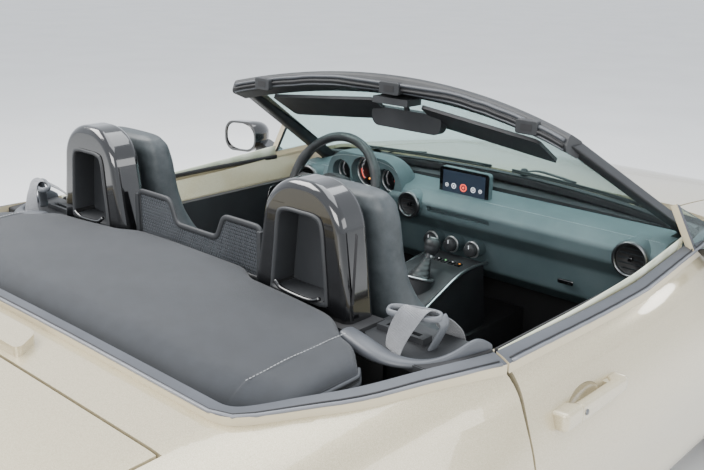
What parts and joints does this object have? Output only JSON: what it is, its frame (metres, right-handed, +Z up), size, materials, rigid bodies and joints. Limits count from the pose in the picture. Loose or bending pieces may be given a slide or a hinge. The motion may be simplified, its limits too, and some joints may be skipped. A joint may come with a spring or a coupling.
{
  "type": "convertible_car",
  "caption": "Small two-seat roadster in sand-beige paint, soft top folded behind two roll hoops, left-hand drive, with opening doors, hood and boot lid.",
  "frame": {"origin": "On the ground, under the middle of the car: half way between nose and tail, on the centre line.", "axes": "+X forward to the nose, +Y to the driver's left side, +Z up."},
  "size_m": [3.915, 1.959, 1.2238],
  "materials": {
    "body_paint": "gloss",
    "underbody": "matte",
    "black_trim": "matte",
    "grey_trim": "satin",
    "soft_trim": "matte",
    "gloss_black": "gloss",
    "roof_cloth": "matte",
    "seat_cover": "satin",
    "wheel_grip": "satin",
    "screen_glass": "clear",
    "lamp_glass": "clear",
    "red_lens": "gloss",
    "tyre_rubber": "matte",
    "alloy": "satin",
    "pipe_steel": "satin",
    "chassis_steel": "satin",
    "cast_metal": "matte"
  },
  "bodies": {
    "root": {"front_fenders": "body_paint", "sills": "body_paint", "rear_quarters": "body_paint", "rear_deck": "body_paint", "front_bumper": "body_paint", "rear_bumper": "body_paint", "headlamps": "lamp_glass", "tail_lamps": "red_lens", "deck_moulding": "grey_trim", "windscreen_glass": "screen_glass", "windscreen_frame": "black_trim", "cowl": "black_trim", "floor_pan": "underbody", "folded_roof": "roof_cloth", "roll_hoops": "gloss_black", "wind_deflector": "black_trim", "cabin_trim": "black_trim", "seat_left": "seat_cover", "seat_right": "seat_cover", "dashboard": "soft_trim", "console": "black_trim", "header_fittings": "black_trim", "powertrain": "cast_metal", "exhaust": "pipe_steel", "front_suspension": "chassis_steel", "rear_suspension": "chassis_steel", "grille": "black_trim", "stop_lamp": "red_lens"},
    "door_left": {"door_left": "body_paint", "door_trim_left": "black_trim", "quarter_glass_left": "screen_glass", "mirror_left": "gloss_black"},
    "door_right": {"door_right": "body_paint", "door_trim_right": "black_trim", "quarter_glass_right": "screen_glass", "mirror_right": "gloss_black"},
    "hood": {"hood": "body_paint"},
    "boot_lid": {"boot_lid": "body_paint"},
    "steering_wheel": {"steering_wheel": "wheel_grip"},
    "knuckle_left": {"knuckle_left": "cast_metal"},
    "knuckle_right": {"knuckle_right": "cast_metal"},
    "wheel_front_left": {"tyre_front_left": "tyre_rubber", "rim_front_left": "alloy"},
    "wheel_front_right": {"tyre_front_right": "tyre_rubber", "rim_front_right": "alloy"},
    "wheel_rear_left": {"tyre_rear_left": "tyre_rubber", "rim_rear_left": "alloy"},
    "wheel_rear_right": {"tyre_rear_right": "tyre_rubber", "rim_rear_right": "alloy"}
  },
  "joints": [
    {"name": "door_left_hinge", "type": "hinge", "parent": "root", "child": "door_left", "pos_m": [0.4505, 0.82669, 0.61], "axis": [0, 0, 1], "range_deg": [-62, 0]},
    {"name": "door_right_hinge", "type": "hinge", "parent": "root", "child": "door_right", "pos_m": [0.4505, -0.82669, 0.61], "axis": [0, 0, 1], "range_deg": [0, 62]},
    {"name": "hood_hinge", "type": "hinge", "parent": "root", "child": "hood", "pos_m": [0.6405, 0, 0.82714], "axis": [0, 1, 0], "range_deg": [-50, 0]},
    {"name": "boot_lid_hinge", "type": "hinge", "parent": "root", "child": "boot_lid", "pos_m": [-1.1045, 0, 0.82966], "axis": [0, 1, 0], "range_deg": [0, 60]},
    {"name": "steering_column", "type": "hinge", "parent": "root", "child": "steering_wheel", "pos_m": [0.185, 0.365, 0.812], "axis": [-0.9272, 0, 0.3746], "range_deg": [-470, 470]},
    {"name": "steer_left", "type": "hinge", "parent": "root", "child": "knuckle_left", "pos_m": [1.1825, 0.7135, 0.308], "axis": [0, 0, 1], "range_deg": [-33, 33]},
    {"name": "steer_right", "type": "hinge", "parent": "root", "child": "knuckle_right", "pos_m": [1.1825, -0.7135, 0.308], "axis": [0, 0, 1], "range_deg": [-33, 33]},
    {"name": "wheel_front_left_spin", "type": "hinge", "parent": "knuckle_left", "child": "wheel_front_left", "pos_m": [1.1825, 0.7475, 0.308], "axis": [0, 1, 0], "continuous": true},
    {"name": "wheel_front_right_spin", "type": "hinge", "parent": "knuckle_right", "child": "wheel_front_right", "pos_m": [1.1825, -0.7475, 0.308], "axis": [0, 1, 0], "continuous": true},
    {"name": "wheel_rear_left_spin", "type": "hinge", "parent": "root", "child": "wheel_rear_left", "pos_m": [-1.1275, 0.7525, 0.308], "axis": [0, 1, 0], "continuous": true},
    {"name": "wheel_rear_right_spin", "type": "hinge", "parent": "root", "child": "wheel_rear_right", "pos_m": [-1.1275, -0.7525, 0.308], "axis": [0, 1, 0], "continuous": true}
  ],
  "couplings": [
    {"joint": "steer_left", "follows": "steering_column", "ratio": 0.0702},
    {"joint": "steer_right", "follows": "steering_column", "ratio": 0.0702}
  ]
}
